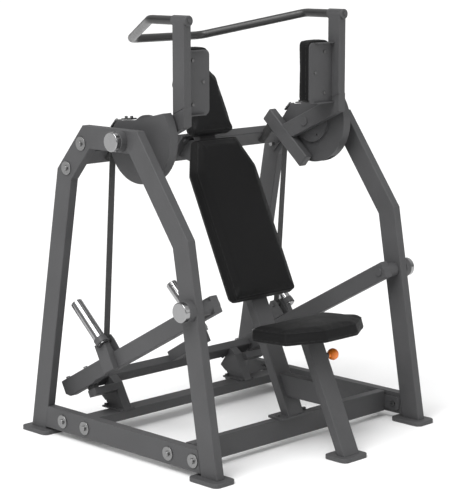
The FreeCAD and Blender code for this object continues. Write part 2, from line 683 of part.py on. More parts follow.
def handle_bar():
    """Bar bent back and inwards from both arms, in one piece."""
    side = sum(ARM_X) / 2
    route = [(-side, 332, HANDLE_Z), (-side, 546, HANDLE_Z), (-199, 937, 1635)]
    route += [(-x, y, z) for x, y, z in reversed(route)]
    path = rounded_path([Vector(*p) for p in route], BEND_R)
    start, facing = Vector(*route[0]), path.Edges[0].tangentAt(0)
    rounds = [Part.makeCircle(r, start, facing) for r in (HANDLE_R, HANDLE_R - WALL)]
    skin, hollow = [path.makePipeShell([Part.Wire(circle)], True, True) for circle in rounds]
    return skin.cut(hollow)


def rounded_path(points, radius):
    """Straight runs joined by tangent arcs."""
    edges = []
    start = points[0]
    for before, corner, after in zip(points, points[1:], points[2:]):
        into = (before - corner).normalize()
        out = (after - corner).normalize()
        half = into.getAngle(out) / 2
        trim = radius / math.tan(half)
        first, last = corner + into * trim, corner + out * trim
        bisector = (into + out).normalize()
        centre = corner + bisector * (radius / math.sin(half))
        edges.append(Part.LineSegment(start, first).toShape())
        edges.append(Part.Arc(first, centre - bisector * radius, last).toShape())
        start = last
    edges.append(Part.LineSegment(start, points[-1]).toShape())
    return Part.Wire(edges)


ELBOW_X = (290.0, ARM_X[0])
ELBOW_Z = (1366.0, 1620.0)
ELBOW_FACE = 376.0
ELBOW_SCREWS = [(380.0, 1581.0), (324.0, 1495.0), (380.0, 1409.0)]


def elbow_bracket():
    """Plate welded to the arm's inner face, with a lip along its top and bottom edges."""
    sheet = block(*ELBOW_X, ELBOW_FACE, ELBOW_FACE + 7, *ELBOW_Z)
    corner = lambda e: e.BoundBox.XMax < ELBOW_X[0] + 0.1 and abs(e.BoundBox.YLength - 7) < 0.1
    sheet = softened(sheet, 22.0, corner)
    for x, z in ELBOW_SCREWS:
        sheet = sheet.cut(rod((x, ELBOW_FACE - 1, z), (x, ELBOW_FACE + 8, z), 3.3))
    lips = [block(ELBOW_X[0] + 30, ELBOW_X[1], ELBOW_FACE - 16, ELBOW_FACE, z, z + 5)
            for z in (ELBOW_Z[0], ELBOW_Z[1] - 5)]
    return sheet.fuse(lips)


def elbow_pad():
    pad = block(284.0, 424.0, ELBOW_FACE + 7, ELBOW_FACE + 69, ELBOW_Z[0] + 2, ELBOW_Z[1] + 12)
    corners = lambda e: abs(e.BoundBox.YLength - 62) < 0.1
    pad = softened(pad, 24.0, corners)
    return softened(pad, 12.0, lambda e: e.BoundBox.YMin > ELBOW_FACE + 68)


def elbow_screws():
    screws = []
    for x, z in ELBOW_SCREWS:
        head = rod((x, ELBOW_FACE - 4, z), (x, ELBOW_FACE, z), 7.0)
        shank = rod((x, ELBOW_FACE, z), (x, ELBOW_FACE + 7, z), 3.2)
        screws.append(softened(head, 1.5, lambda e: e.BoundBox.YMax < ELBOW_FACE - 3).fuse(shank))
    save("elbow_screws", Part.makeCompound([both_sides(s) for s in screws]))


def cam():
    """Hollow cam: a disc with a flat top, grooved for the belt over the part that winds it."""
    x0 = DRIVE_X - CAM_WIDTH / 2
    shape = cam_outline(0).extrude(Vector(CAM_WIDTH, 0, 0))
    shape.translate(Vector(x0, 0, 0))
    groove = wrap_ring(DRUM_R, CAM_R + 5, GROOVE_WIDTH, WRAP_START, 75.0)
    shape = shape.cut(groove)
    inside = cam_outline(CAM_R - DRUM_R + 6).extrude(Vector(CAM_WIDTH - 10, 0, 0))
    inside.translate(Vector(x0 + 5, 0, 0))
    inside = inside.cut(rod_x(ARM_PIVOT, x0, x0 + CAM_WIDTH, HUB_R + 8))
    vent = rod_x((496, 1217), x0 - 16, x0 + 6, 4.0)
    boss = rod_x(ARM_PIVOT, ARM_X[1] + 1, x0, 91.0)
    shape = shape.fuse(boss).cut(inside).cut(vent)
    return shape.cut(rod_x(ARM_PIVOT, ARM_X[1], x0 + CAM_WIDTH + 1, ARM_HUB_R))


def cam_outline(margin):
    """The cam's face in the plane x = 0, drawn in by a margin."""
    y, z = ARM_PIVOT
    disc = Part.Face(Part.Wire(Part.makeCircle(CAM_R - margin, Vector(0, y, z), Vector(1, 0, 0))))
    top = [(300, 1405), (575, 1343), (664, 1337), (693, 1300), (711, 1268)]
    top += [(760, 1268), (760, 1500), (300, 1500)]
    trimmed = [Vector(-1, ty, tz - margin) for ty, tz in top]
    cutter = Part.Face(Part.makePolygon(trimmed + trimmed[:1])).extrude(Vector(2, 0, 0))
    return disc.cut(cutter).Faces[0]


def wrap_ring(inner, outer, width, start, end):
    """Part of a ring about the arm pivot, between two angles above +Y."""
    x0 = DRIVE_X - width / 2
    ring = rod_x(ARM_PIVOT, x0, x0 + width, outer).cut(rod_x(ARM_PIVOT, x0 - 1, x0 + width + 1, inner))
    reach = 2 * outer
    fan = [ARM_PIVOT]
    steps = 8
    for i in range(steps + 1):
        fan.append(moved(ARM_PIVOT, start + (end - start) * i / steps, reach))
    return ring.common(plate(fan, x0 - 1, x0 + width + 1))


def belt_wraps():
    strap = wrap_ring(DRUM_R, DRUM_R + BELT_THICKNESS, BELT_WIDTH, WRAP_START, WRAP_END)
    save("belt_wraps", both_sides(strap))


def belt_clamps():
    """Clamp plates that hold the belt's end on the cam, each with two bolts."""
    clamps = []
    for middle, slope, length in (((612, 1345), -4.0, 54.0), ((688, 1322), -46.0, 40.0)):
        seat = moved(middle, slope + 90, 2.0)
        clamp = plate(rectangle(seat, slope, length, 6.0), DRIVE_X - 17, DRIVE_X + 17)
        bolts = []
        for step in (-0.3, 0.3):
            foot = moved(seat, slope, step * length)
            tip = moved(foot, slope + 90, 11.0)
            bolts.append(rod((DRIVE_X, *foot), (DRIVE_X, *tip), 6.0))
        clamps.append(both_sides(clamp.fuse(bolts)))
    save("belt_clamps", Part.makeCompound(clamps))


def belt():
    """Free span of the belt from the cam down to the lever's clevis."""
    top = (ARM_PIVOT[0] + DRUM_R + 1.5 * BELT_THICKNESS + 0.3, ARM_PIVOT[1])
    bottom = CLEVIS_PIN
    half = BELT_THICKNESS / 2
    outline = [(top[0] - half, top[1]), (top[0] + half, top[1])]
    outline += [(bottom[0] + half, bottom[1] + 11), (bottom[0] - half, bottom[1] + 11)]
    save_pair("belt", plate(outline, DRIVE_X - BELT_WIDTH / 2, DRIVE_X + BELT_WIDTH / 2))


def arm_stops():
    """Rubber stops on the top crossbeam that the ballast tubes rest on."""
    x = sum(ARM_X) / 2
    seat = moved(moved(TOP_BEAM, TOP_BEAM_SLOPE, 12), TOP_BEAM_SLOPE - 90, TUBE_WIDTH / 2)
    across = BALLAST_SLOPE - 90
    reach = moved(BALLAST_MIDDLE, across, BALLAST_DEPTH / 2 + 0.6)
    seat_line_ = ((seat[0], seat[1]), direction(across + 180))
    tip = crossing(seat_line_, (reach, direction(BALLAST_SLOPE)))
    body = rod((x, seat[0], seat[1]), (x, tip[0], tip[1]), 19.0)
    beam_box = plate(rectangle(TOP_BEAM, TOP_BEAM_SLOPE, CROSS_DEPTH, TUBE_WIDTH), x - 40, x + 40)
    save("arm_stops", both_sides(body.cut(beam_box)))


def swing_arms():
    save_pair("arm", arm_tube())
    save_pair("arm_link", arm_link())
    save("handle_bar", handle_bar())
    save_pair("elbow_bracket", elbow_bracket())
    save_pair("elbow_pad", elbow_pad())
    elbow_screws()
    save_pair("cam", cam())
    belt_wraps()
    belt_clamps()
    belt()
    arm_stops()


# ---------- weight levers ----------

def lever_x():
    return (DRIVE_X - TUBE_WIDTH / 2, DRIVE_X + TUBE_WIDTH / 2)


def on_lever(along, above):
    """A (y, z) point given by distance along the lever from its pivot and height above its axis."""
    return moved(moved(LEVER_PIVOT, LEVER_SLOPE, along), LEVER_SLOPE + 90, above)


def lever():
    x0, x1 = lever_x()
    half = LEVER_DEPTH / 2
    low = -half - STRIKE_PLATE
    outline = [on_lever(LEVER_FRONT, -half), on_lever(790, -half), on_lever(800, low)]
    outline += [on_lever(LEVER_REAR - 26, low), on_lever(LEVER_REAR, low + 18)]
    outline += [on_lever(LEVER_REAR, half), on_lever(LEVER_FRONT, half)]
    body = softened(plate(outline, x0, x1), CORNER, lambda e: not along_x(e) and e.Length > 150)
    skin = [on_lever(LEVER_FRONT + WALL, -half + WALL), on_lever(LEVER_REAR - 60, -half + WALL)]
    skin += [on_lever(LEVER_REAR - 60, half - WALL), on_lever(LEVER_FRONT + WALL, half - WALL)]
    body = body.cut(plate(skin, x0 + WALL, x1 - WALL))
    vent = rod((DRIVE_X, *on_lever(60, -half - 2)), (DRIVE_X, *on_lever(60, -half + 6)), 4.0)
    hub = rod_x(LEVER_PIVOT, x0, INNER_X - 3, ARM_HUB_R)
    boss = rod_x(LEVER_PIVOT, x0 - 5, x0, 17.0)
    boss = softened(boss, 2.0, lambda e: e.BoundBox.XMax < x0 - 1)
    bore = rod_x(LEVER_PIVOT, x0 + 5, INNER_X, SHAFT_R + RUNNING_CLEARANCE)
    return body.cut(vent).fuse([hub, boss]).cut(bore)


def horn(x, base, length, spigot):
    """Round horn with a rounded tip, and a thinner spigot at its foot where it sits in a collar."""
    tip = moved(base, HORN_SLOPE, length)
    shoulder = moved(base, HORN_SLOPE, spigot)
    bar = rod((x, *shoulder), (x, *tip), HORN_R)
    bar = softened(bar, 3.0, lambda e: e.BoundBox.ZMax > tip[1] and e.BoundBox.XLength > 40)
    if spigot == 0:
        return bar
    return bar.fuse(rod((x, *base), (x, *shoulder), SPIGOT_R))


def horn_socket():
    """Upright saddle on the lever's outer face that holds the horn, with its set bolt."""
    x0 = lever_x()[1]
    x1 = x0 + 30
    half = LEVER_DEPTH / 2
    outline = [on_lever(612, -half), on_lever(680, -half)]
    outline += [on_lever(680, half + 52), on_lever(612, half + 52)]
    saddle = softened(plate(outline, x0, x1), CORNER, lambda e: e.Length > 100)
    low, high = moved(HORN_BASE, HORN_SLOPE, 4), moved(HORN_BASE, HORN_SLOPE, COLLAR_LENGTH)
    collar = rod((HORN_X, *low), (HORN_X, *high), 27.5)
    keep = block(x0, INNER_X - 0.5, 600, 900, 200, 600)
    body = saddle.fuse(collar.common(keep))
    body = body.cut(rod((HORN_X, *HORN_BASE), (HORN_X, *moved(HORN_BASE, HORN_SLOPE, 60)), SPIGOT_R))
    set_bolt = moved(HORN_BASE, HORN_SLOPE, 18)
    low, high = moved(set_bolt, HORN_SLOPE - 90, 27), moved(set_bolt, HORN_SLOPE - 90, 36)
    head = rod((HORN_X, *low), (HORN_X, *high), 7)
    return body.fuse(head)


def clevis():
    """Two lugs on the lever with a pin between them for the belt's end."""
    half = LEVER_DEPTH / 2
    along = math.hypot(CLEVIS_PIN[0] - LEVER_PIVOT[0], CLEVIS_PIN[1] - LEVER_PIVOT[1])
    foot = [on_lever(along - 46, half), on_lever(along + 48, half)]
    lug = [foot[0], foot[1], moved(CLEVIS_PIN, -10, 26), moved(CLEVIS_PIN, 40, 24),
           moved(CLEVIS_PIN, 100, 24), moved(CLEVIS_PIN, 160, 26)]
    lugs = [plate(lug, x, x + 4.5) for x in (lever_x()[0], lever_x()[1] - 4.5)]
    pin = rod_x(CLEVIS_PIN, lever_x()[0] - 5, lever_x()[1], 8.0)
    return lugs[0].fuse([lugs[1], pin])


def lever_bolts():
    """Bolts through the lever's rear end that hold its strike plate."""
    half = LEVER_DEPTH / 2
    bolts = []
    for along in (838.0, 968.0):
        head = rod((DRIVE_X, *on_lever(along, half)), (DRIVE_X, *on_lever(along, half + 9)), 9.0)
        bolts.append(head)
    return Part.makeCompound(bolts)


def weight_levers():
    save_pair("lever", lever().fuse(horn_socket()))
    save_pair("weight_horn", horn(HORN_X, HORN_BASE, HORN_LENGTH, COLLAR_LENGTH))
    save_pair("clevis", clevis())
    save_pair("lever_bolts", lever_bolts())


os.makedirs("parts", exist_ok=True)
side_frames()
feet()
crossbeams()
mid_crossbeam()
storage_horn()
stop_posts()
lever_bumpers()
spine()
spine_bracket()
link_beam()
seat_post()
pull_knob()
seat_slider()
seat_pad()
pads()
pivots()
frame_fasteners()
swing_arms()
weight_levers()
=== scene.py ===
import json
import math

import bmesh
import bpy
import numpy as np
from mathutils import Matrix, Quaternion, Vector
from mathutils.bvhtree import BVHTree


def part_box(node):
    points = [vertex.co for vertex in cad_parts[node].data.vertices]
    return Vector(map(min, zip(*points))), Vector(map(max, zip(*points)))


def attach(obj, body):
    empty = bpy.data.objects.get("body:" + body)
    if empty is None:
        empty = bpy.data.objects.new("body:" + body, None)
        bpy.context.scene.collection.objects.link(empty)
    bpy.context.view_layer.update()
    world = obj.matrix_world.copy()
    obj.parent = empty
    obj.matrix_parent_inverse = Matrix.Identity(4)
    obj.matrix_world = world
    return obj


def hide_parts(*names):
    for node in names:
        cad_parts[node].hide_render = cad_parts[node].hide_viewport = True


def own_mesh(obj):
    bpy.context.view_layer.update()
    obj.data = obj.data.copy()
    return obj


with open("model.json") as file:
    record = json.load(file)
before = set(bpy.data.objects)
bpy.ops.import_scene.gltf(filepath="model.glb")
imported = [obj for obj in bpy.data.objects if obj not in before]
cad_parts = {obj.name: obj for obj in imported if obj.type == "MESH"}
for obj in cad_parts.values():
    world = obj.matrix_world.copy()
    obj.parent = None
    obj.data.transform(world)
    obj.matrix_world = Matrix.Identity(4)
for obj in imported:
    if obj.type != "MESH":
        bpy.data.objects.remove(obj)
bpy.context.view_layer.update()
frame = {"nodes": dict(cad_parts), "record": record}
nodes = frame["nodes"]

# ---------- driving dimensions, in metres ----------

SIDES = (("left", -1), ("right", 1))
LEAN = math.radians(25.2)
SEAT_TILT = math.radians(4.5)
X_AXIS = Vector((1, 0, 0))

# Upholstery
BACK_FOOT = Vector((0, -0.161, 0.609))
PAD_DEPTH = 0.050
SEAT_DEPTH = 0.058
ELBOW_DEPTH = 0.062
PAD_EDGE = 0.015
SEAT_EDGE = 0.010
SHRINK = 0.003
VOXEL = 0.0055
CLOTH_FRAMES = 20
FOAM_PRESSURE = 4.0
RELAX_STEPS = 14
SWELL_CAP = 0.007
WELT_R = 0.0021
STITCH_STEP = 0.0075

# Belt drive
ARM_PIVOT = Vector((0, 0.037, 1.267))
CLEVIS_PIN = Vector((0, 0.270, 0.420))
DRIVE_X = 0.502
DRUM_R = 0.170
BELT_WIDTH = 0.030
BELT_THICKNESS = 0.003
PIN_R = 0.0085
PIN_REACH = 0.011

# Studio and view
FLOOR_REACH = 120.0
LENS = 125.1
SENSOR = 36.0
CAMERA_PLACE = Vector((-5.0326, -5.0010, 2.0311))
CAMERA_AZIMUTH = math.radians(-44.861)
CAMERA_ELEVATION = math.radians(10.114)
CAMERA_ROLL = math.radians(-0.05)


# ---------- materials ----------

class Shader:
    """A node material under construction, with short ways to add and join its nodes."""

    def __init__(self, name):
        self.material = bpy.data.materials.new(name)
        self.material.use_nodes = True
        self.tree = self.material.node_tree
        self.bsdf = self.tree.nodes["Principled BSDF"]
        self.place = self.add("ShaderNodeTexCoord").outputs["Object"]

    def add(self, kind, **settings):
        node = self.tree.nodes.new(kind)
        for key, value in settings.items():
            setattr(node, key, value)
        return node

    def feed(self, socket, value):
        """Set a socket to a number or colour, or join an output to it."""
        if isinstance(value, bpy.types.NodeSocket):
            self.tree.links.new(value, socket)
        else:
            socket.default_value = value

    def set(self, **values):
        for name, value in values.items():
            self.feed(self.bsdf.inputs[name.replace("_", " ")], value)

    def noise(self, scale, detail=2.0, rough=0.5, where=None):
        node = self.add("ShaderNodeTexNoise")
        self.feed(node.inputs["Vector"], where or self.place)
        self.feed(node.inputs["Scale"], scale)
        self.feed(node.inputs["Detail"], detail)
        self.feed(node.inputs["Roughness"], rough)
        return node.outputs["Fac"]

    def cells(self, scale, feature="DISTANCE_TO_EDGE"):
        node = self.add("ShaderNodeTexVoronoi", feature=feature)
        self.feed(node.inputs["Vector"], self.place)
        self.feed(node.inputs["Scale"], scale)
        return node.outputs["Distance"]

    def span(self, value, low, high, to_low, to_high):
        """Spread a value's range low..high over to_low..to_high."""
        node = self.add("ShaderNodeMapRange", clamp=True)
        for name, number in zip(("Value", "From Min", "From Max", "To Min", "To Max"),
                                (value, low, high, to_low, to_high)):
            self.feed(node.inputs[name], number)
        return node.outputs["Result"]

    def mix(self, factor, a, b):
        node = self.add("ShaderNodeMix", data_type="RGBA")
        self.feed(node.inputs["Factor"], factor)
        self.feed(node.inputs["A"], a)
        self.feed(node.inputs["B"], b)
        return node.outputs["Result"]

    def sum(self, a, b, operation="ADD"):
        node = self.add("ShaderNodeMath", operation=operation)
        self.feed(node.inputs[0], a)
        self.feed(node.inputs[1], b)
        return node.outputs[0]

    def soft_normal(self, radius):
        """Normal that is rounded over sharp edges."""
        node = self.add("ShaderNodeBevel", samples=4)
        self.feed(node.inputs["Radius"], radius)
        return node.outputs["Normal"]

    def edges(self, normal):
        """1 on sharp edges and 0 on open faces, from a rounded normal."""
        dot = self.add("ShaderNodeVectorMath", operation="DOT_PRODUCT")
        self.feed(dot.inputs[0], normal)
        self.feed(dot.inputs[1], self.add("ShaderNodeNewGeometry").outputs["Normal"])
        return self.span(dot.outputs["Value"], 0.80, 0.995, 1.0, 0.0)

    def bump(self, height, distance, strength=1.0, normal=None):
        node = self.add("ShaderNodeBump")
        self.feed(node.inputs["Height"], height)
        self.feed(node.inputs["Distance"], distance)
        self.feed(node.inputs["Strength"], strength)
        if normal is not None:
            self.feed(node.inputs["Normal"], normal)
        self.feed(self.bsdf.inputs["Normal"], node.outputs["Normal"])


def grey(value, tint=0.0):
    return (value, value, value * (1 + tint), 1.0)


def powder_coat():
    """Dark grey textured powder coat, with a painted highlight: a little lighter along sharp edges."""
    s = Shader("powder_coat")
    normal = s.soft_normal(0.0018)
    peel = s.noise(1100.0, 3.0, 0.6)
    clouds = s.noise(7.0, 4.0, 0.55)
    # painted highlight: the base colour is lightened along sharp edges, in noisy patches, where light
    # catches the tube ridges
    painted_edge_highlight = s.sum(s.edges(normal), s.span(s.noise(90.0, 4.0), 0.45, 0.7, 0.0, 0.75), "MULTIPLY")
    body = s.mix(s.span(clouds, 0.3, 0.7, 0.0, 1.0), grey(0.056, 0.03), grey(0.068, 0.03))
    flecked = s.mix(s.span(s.noise(2200.0, 1.0), 0.58, 0.72, 0.0, 0.35), body, grey(0.115, 0.03))
    s.set(Base_Color=s.mix(painted_edge_highlight, flecked, grey(0.12)))
    s.set(Roughness=s.span(clouds, 0.3, 0.7, 0.46, 0.60), Specular_IOR_Level=0.32)
    s.bump(peel, 0.00022, 0.55, normal)
    return s.material


def vinyl():
    """Black upholstery vinyl with a leather grain."""
    s = Shader("vinyl")
    creases = s.span(s.cells(620.0), 0.0, 0.22, 0.0, 1.0)
    pores = s.noise(1500.0, 2.0)
    height = s.sum(creases, s.sum(pores, 0.35, "MULTIPLY"))
    clouds = s.noise(9.0, 3.0)
    s.set(Base_Color=s.mix(clouds, grey(0.0040, 0.05), grey(0.0065, 0.05)))
    s.set(Roughness=s.span(clouds, 0.3, 0.7, 0.50, 0.62), Specular_IOR_Level=0.16)
    s.set(Sheen_Weight=0.03, Sheen_Roughness=0.4)
    s.bump(height, 0.00022, 0.6)
    return s.material


def chrome():
    s = Shader("chrome")
    haze = s.noise(35.0, 4.0)
    s.set(Base_Color=grey(0.32, 0.01), Metallic=1.0, Roughness=s.span(haze, 0.3, 0.7, 0.12, 0.22))
    s.bump(s.noise(420.0, 2.0), 0.00004, 0.5, s.soft_normal(0.002))
    return s.material


def turned_steel():
    """Zinc-plated or turned steel of bolts, washers and shafts."""
    s = Shader("turned_steel")
    patches = s.noise(160.0, 4.0)
    s.set(Base_Color=s.mix(patches, grey(0.20), grey(0.31)), Metallic=1.0)
    s.set(Roughness=s.span(patches, 0.3, 0.7, 0.26, 0.42))
    s.bump(s.noise(900.0, 2.0), 0.00006, 0.5, s.soft_normal(0.001))
    return s.material


def dark_steel():
    s = Shader("dark_steel")
    s.set(Base_Color=s.mix(s.noise(120.0, 3.0), grey(0.09), grey(0.16)), Metallic=0.9)
    s.set(Roughness=s.span(s.noise(60.0), 0.3, 0.7, 0.35, 0.5))
    s.bump(s.noise(1200.0), 0.00008, 0.5, s.soft_normal(0.001))
    return s.material


def rubber():
    s = Shader("rubber")
    s.set(Base_Color=s.mix(s.noise(30.0, 5.0), grey(0.018), grey(0.034)))
    s.set(Roughness=s.span(s.noise(80.0), 0.3, 0.7, 0.62, 0.8))
    s.bump(s.noise(1400.0, 3.0), 0.00025, 0.6, s.soft_normal(0.002))
    return s.material


def bar_coat():
    """Satin black coat of the handle bar."""
    s = Shader("bar_coat")
    wear = s.noise(45.0, 5.0)
    s.set(Base_Color=s.mix(wear, grey(0.012), grey(0.020)))
    s.set(Roughness=s.span(wear, 0.3, 0.7, 0.30, 0.44), Coat_Weight=0.15, Coat_Roughness=0.25)
    s.bump(s.noise(1300.0, 2.0), 0.0001, 0.5)
    return s.material


def webbing():
    """Woven grey belt: ribs across its width, with a finer twill between them."""
    s = Shader("webbing")
    ribs = s.add("ShaderNodeTexWave", wave_type="BANDS", bands_direction="Z")
    s.feed(ribs.inputs["Vector"], s.place)
    s.feed(ribs.inputs["Scale"], 95.0)
    twill = s.add("ShaderNodeTexWave", wave_type="BANDS", bands_direction="X")
    s.feed(twill.inputs["Vector"], s.place)
    s.feed(twill.inputs["Scale"], 160.0)
    weave = s.sum(ribs.outputs["Fac"], twill.outputs["Fac"], "MULTIPLY")
    s.set(Base_Color=s.mix(weave, grey(0.042), grey(0.085)), Roughness=s.span(weave, 0, 1, 0.85, 0.65))
    s.bump(weave, 0.0005, 0.8)
    return s.material


def coated_board():
    """Black-stained ply behind the pads."""
    s = Shader("coated_board")
    grain = s.add("ShaderNodeMapping")
    s.feed(grain.inputs["Vector"], s.place)
    grain.inputs["Scale"].default_value = (14.0, 1.0, 1.0)
    streaks = s.noise(20.0, 6.0, 0.6, grain.outputs["Vector"])
    s.set(Base_Color=s.mix(streaks, grey(0.020), grey(0.045)))
    s.set(Roughness=s.span(streaks, 0.3, 0.7, 0.55, 0.75))
    s.bump(streaks, 0.0004, 0.5, s.soft_normal(0.001))
    return s.material


def orange_plastic():
    s = Shader("orange_plastic")
    cloud = s.noise(60.0, 3.0)
    s.set(Base_Color=s.mix(cloud, (0.82, 0.19, 0.012, 1), (0.90, 0.235, 0.02, 1)))
    s.set(Roughness=s.span(cloud, 0.3, 0.7, 0.26, 0.38), Coat_Weight=0.2)
    s.bump(s.noise(900.0, 2.0), 0.00005, 0.4)
    return s.material


def thread():
    s = Shader("thread")
    s.set(Base_Color=s.mix(s.noise(2500.0), grey(0.03), grey(0.07)), Roughness=0.75)
    s.bump(s.noise(3000.0), 0.0002, 0.6)
    return s.material


def studio_floor():
    s = Shader("studio_floor")
    s.set(Base_Color=s.mix(s.noise(1.5, 4.0), grey(0.90), grey(0.93)))
    s.set(Roughness=s.span(s.noise(8.0), 0.3, 0.7, 0.55, 0.65))
    return s.material


PAINT = powder_coat()
VINYL = vinyl()
CHROME = chrome()
STEEL = turned_steel()
DARK_STEEL = dark_steel()
RUBBER = rubber()
BAR = bar_coat()
WEBBING = webbing()
BOARD = coated_board()
ORANGE = orange_plastic()
THREAD = thread()
BY_SLOT = {
    "frame_paint": PAINT, "vinyl": VINYL, "chrome": CHROME, "bright_steel": STEEL,
    "dark_steel": DARK_STEEL, "rubber": RUBBER, "black_bar": BAR, "belt_web": WEBBING,
    "board": BOARD, "orange_knob": ORANGE,
}


def dress(obj, material):
    obj.data.materials.clear()
    obj.data.materials.append(material)


def slots_of_nodes():
    """Material slot of each CAD node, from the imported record."""
    return {row["node"]: row["material_slot"] for row in frame["record"]["subparts"]}


for node_name, slot_name in slots_of_nodes().items():
    dress(nodes[node_name], BY_SLOT[slot_name])


# ---------- mesh helpers ----------

def new_object(name, vertices, faces, material, smooth=True):
    mesh = bpy.data.meshes.new(name)
    mesh.from_pydata([tuple(v) for v in vertices], [], faces)
    mesh.validate()
    mesh.update()
    obj = bpy.data.objects.new(name, mesh)
    bpy.context.scene.collection.objects.link(obj)
    for polygon in mesh.polygons:
        polygon.use_smooth = smooth
    dress(obj, material)
    return obj


def joined(name, parts, material, smooth=True):
    """One object from several (vertices, faces) lists."""
    vertices, faces = [], []
    for some_vertices, some_faces in parts:
        start = len(vertices)
        vertices += [Vector(v) for v in some_vertices]
        faces += [[start + i for i in face] for face in some_faces]
    return new_object(name, vertices, faces, material, smooth)


def ring_tube(points, normals, radius, sides=8):
    """(vertices, faces) of a closed tube along a ring of points."""
    vertices, faces = [], []
    count = len(points)
    for i, point in enumerate(points):
        along = (points[(i + 1) % count] - points[i - 1]).normalized()
        out = normals[i].normalized()
        across = along.cross(out).normalized()
        for k in range(sides):
            angle = 2 * math.pi * k / sides
            vertices.append(point + radius * (math.cos(angle) * out + math.sin(angle) * across))
    for i in range(count):
        for k in range(sides):
            a, b = i * sides + k, i * sides + (k + 1) % sides
            c, d = ((i + 1) % count) * sides + (k + 1) % sides, ((i + 1) % count) * sides + k
            faces.append([a, b, c, d])
    return vertices, faces


def capsule(start, end, out, radius):
    """(vertices, faces) of a stitch: a small flattened bead between two points."""
    along = (end - start).normalized()
    across = along.cross(out).normalized()
    vertices, faces = [], []
    sides = 6
    profile = ((0.0, 0.25), (0.2, 0.9), (0.5, 1.0), (0.8, 0.9), (1.0, 0.25))
    for t, r in profile:
        centre = start.lerp(end, t)
        for k in range(sides):
            angle = 2 * math.pi * k / sides
            vertices.append(centre + radius * r * (math.cos(angle) * out + math.sin(angle) * across))
    for i in range(len(profile) - 1):
        for k in range(sides):
            a, b = i * sides + k, i * sides + (k + 1) % sides
            faces.append([a, b, b + sides, a + sides])
    faces.append(list(range(sides))[::-1])
    faces.append([(len(profile) - 1) * sides + k for k in range(sides)])
    return vertices, faces


# ---------- upholstery ----------

def rounded_outline(corners, radius, step=0.010):
    """Evenly spaced points round a convex outline, with its corners turned to arcs."""
    points = []
    count = len(corners)
    for i in range(count):
        before, corner, after = (Vector(corners[(i + k) % count]) for k in (-1, 0, 1))
        into, out = (before - corner).normalized(), (after - corner).normalized()
        half = into.angle(out) / 2
        trim = radius / math.tan(half)
        centre = corner + (into + out).normalized() * radius / math.sin(half)
        start, end = corner + into * trim - centre, corner + out * trim - centre
        turn = start.angle_signed(end)
        steps = max(3, int(abs(turn) * radius / (0.5 * step)))
        arc_points = []
        for k in range(steps + 1):
            angle = -turn * k / steps
            c, s = math.cos(angle), math.sin(angle)
            arc_points.append(centre + Vector((start.x * c - start.y * s, start.x * s + start.y * c)))
        if points:
            points += run_between(points[-1], arc_points[0], step)
        points += arc_points
    return points + run_between(points[-1], points[0], step)


def run_between(a, b, step):
    pieces = max(1, round((b - a).length / step))
    return [a.lerp(b, k / pieces) for k in range(1, pieces)]


class Pad:
    """A pad's local frame: x across, h along it, and depth out from the board to the crowned face."""

    def __init__(self, name, body, node, corners, origin, up, out, depth, corner, crown, fill,
                 edge=PAD_EDGE):
        self.name, self.body, self.node = name, body, node
        self.outline = rounded_outline(corners, corner)
        self.origin, self.up, self.out = origin, up.normalized(), out.normalized()
        self.depth, self.crown, self.fill, self.edge = depth, crown, fill, edge
        self.middle = sum((Vector(p) for p in self.outline), Vector((0, 0))) / len(self.outline)

    def world(self, flat, depth):
        return self.origin + X_AXIS * flat.x + self.up * flat.y + self.out * depth

    def inset(self, amount):
        """The outline moved inwards along its normals."""
        count = len(self.outline)
        moved = []
        for i, point in enumerate(self.outline):
            along = self.outline[(i + 1) % count] - self.outline[i - 1]
            inward = Vector((-along.y, along.x)).normalized()
            if inward.dot(self.middle - point) < 0:
                inward = -inward
            moved.append(point + inward * amount)
        return moved

    def rings(self):
        """(flat ring, depth) pairs from the board's face round the edge to the middle."""
        rings = [(self.inset(0.004), 0.0), (self.inset(SHRINK), 0.004)]
        for share in (0.25, 0.5, 0.75):
            rings.append((self.inset(SHRINK), share * (self.depth - self.edge)))
        for k in range(7):
            angle = math.pi / 2 * k / 6
            inwards = SHRINK + self.edge * (1 - math.cos(angle))
            rings.append((self.inset(inwards), self.depth - SHRINK - self.edge * (1 - math.sin(angle))))
        rim = self.inset(SHRINK + self.edge)
        for k in range(1, 14):
            scale = 1 - k / 14
            ring = [self.middle + (p - self.middle) * scale for p in rim]
            rings.append((ring, self.depth - SHRINK + self.crown * (1 - scale * scale)))
        return rings

    def build(self):
        """The pad's closed mesh before it is filled."""
        rings = self.rings()
        count = len(self.outline)
        vertices = [self.world(p, depth) for ring, depth in rings for p in ring]
        faces = []
        for r in range(len(rings) - 1):
            for i in range(count):
                j = (i + 1) % count
                faces.append([r * count + i, r * count + j, (r + 1) * count + j, (r + 1) * count + i])
        top = len(vertices)
        vertices.append(self.world(self.middle, self.depth - SHRINK + self.crown))
        vertices.append(self.world(self.middle, 0.0))
        last = (len(rings) - 1) * count
        for i in range(count):
            j = (i + 1) % count
            faces.append([last + i, last + j, top])
            faces.append([j, i, top + 1])
        obj = new_object(self.name, vertices, faces, VINYL)
        fix_normals(obj)
        return obj


def fix_normals(obj):
    mesh = bmesh.new()
    mesh.from_mesh(obj.data)
    bmesh.ops.recalc_face_normals(mesh, faces=mesh.faces)
    mesh.to_mesh(obj.data)
    mesh.free()


def apply_modifiers(obj):
    """Bake the object's modifiers into its mesh."""
    graph = bpy.context.evaluated_depsgraph_get()
    baked = bpy.data.meshes.new_from_object(obj.evaluated_get(graph))
    materials = [m for m in obj.data.materials]
    obj.modifiers.clear()
    obj.data = baked
    obj.data.materials.clear()
    for m in materials:
        obj.data.materials.append(m)


def coordinates(mesh):
    values = np.empty(len(mesh.vertices) * 3, np.float64)
    mesh.vertices.foreach_get("co", values)
    return values.reshape(-1, 3)


